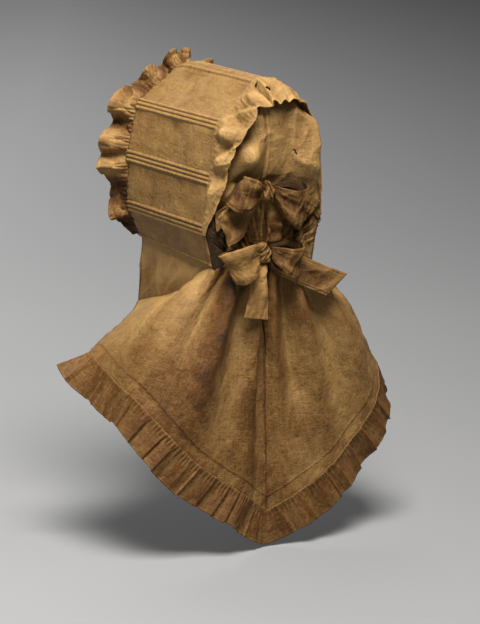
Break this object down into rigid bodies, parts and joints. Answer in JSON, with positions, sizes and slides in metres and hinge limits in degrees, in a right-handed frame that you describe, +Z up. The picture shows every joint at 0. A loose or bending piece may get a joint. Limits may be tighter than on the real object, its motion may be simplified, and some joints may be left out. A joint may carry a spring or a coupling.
{
  "type": "bonnet",
  "caption": "Cotton sunbonnet with a corded brim, ruffled front edge, soft crown, shoulder cape with a frill, and ribbon bows at the back",
  "frame": {"origin": "on top of the wearer's head, inside the hood, where the bonnet sits", "axes": "+X to the wearer's left, +Y to the wearer's back, +Z up"},
  "size_m": [0.4659, 0.2886, 0.6311],
  "materials": {
    "brown_cotton": "matt plain weave, lightly glazed and worn"
  },
  "bodies": {
    "root": {"brim": "brown_cotton", "front_ruffle": "brown_cotton", "rear_flounce": "brown_cotton", "crown": "brown_cotton", "neck_piece_left": "brown_cotton", "neck_piece_right": "brown_cotton", "cape": "brown_cotton", "cape_ruffle": "brown_cotton", "upper_tie": "brown_cotton", "upper_bow_knot": "brown_cotton", "upper_bow_loop_left": "brown_cotton", "upper_bow_loop_right": "brown_cotton", "upper_bow_tail_left": "brown_cotton", "upper_bow_tail_right": "brown_cotton", "lower_bow_knot": "brown_cotton", "lower_bow_loop_left": "brown_cotton", "lower_bow_loop_right": "brown_cotton", "lower_bow_tail_centre": "brown_cotton", "lower_bow_tail_right": "brown_cotton"}
  },
  "joints": []
}
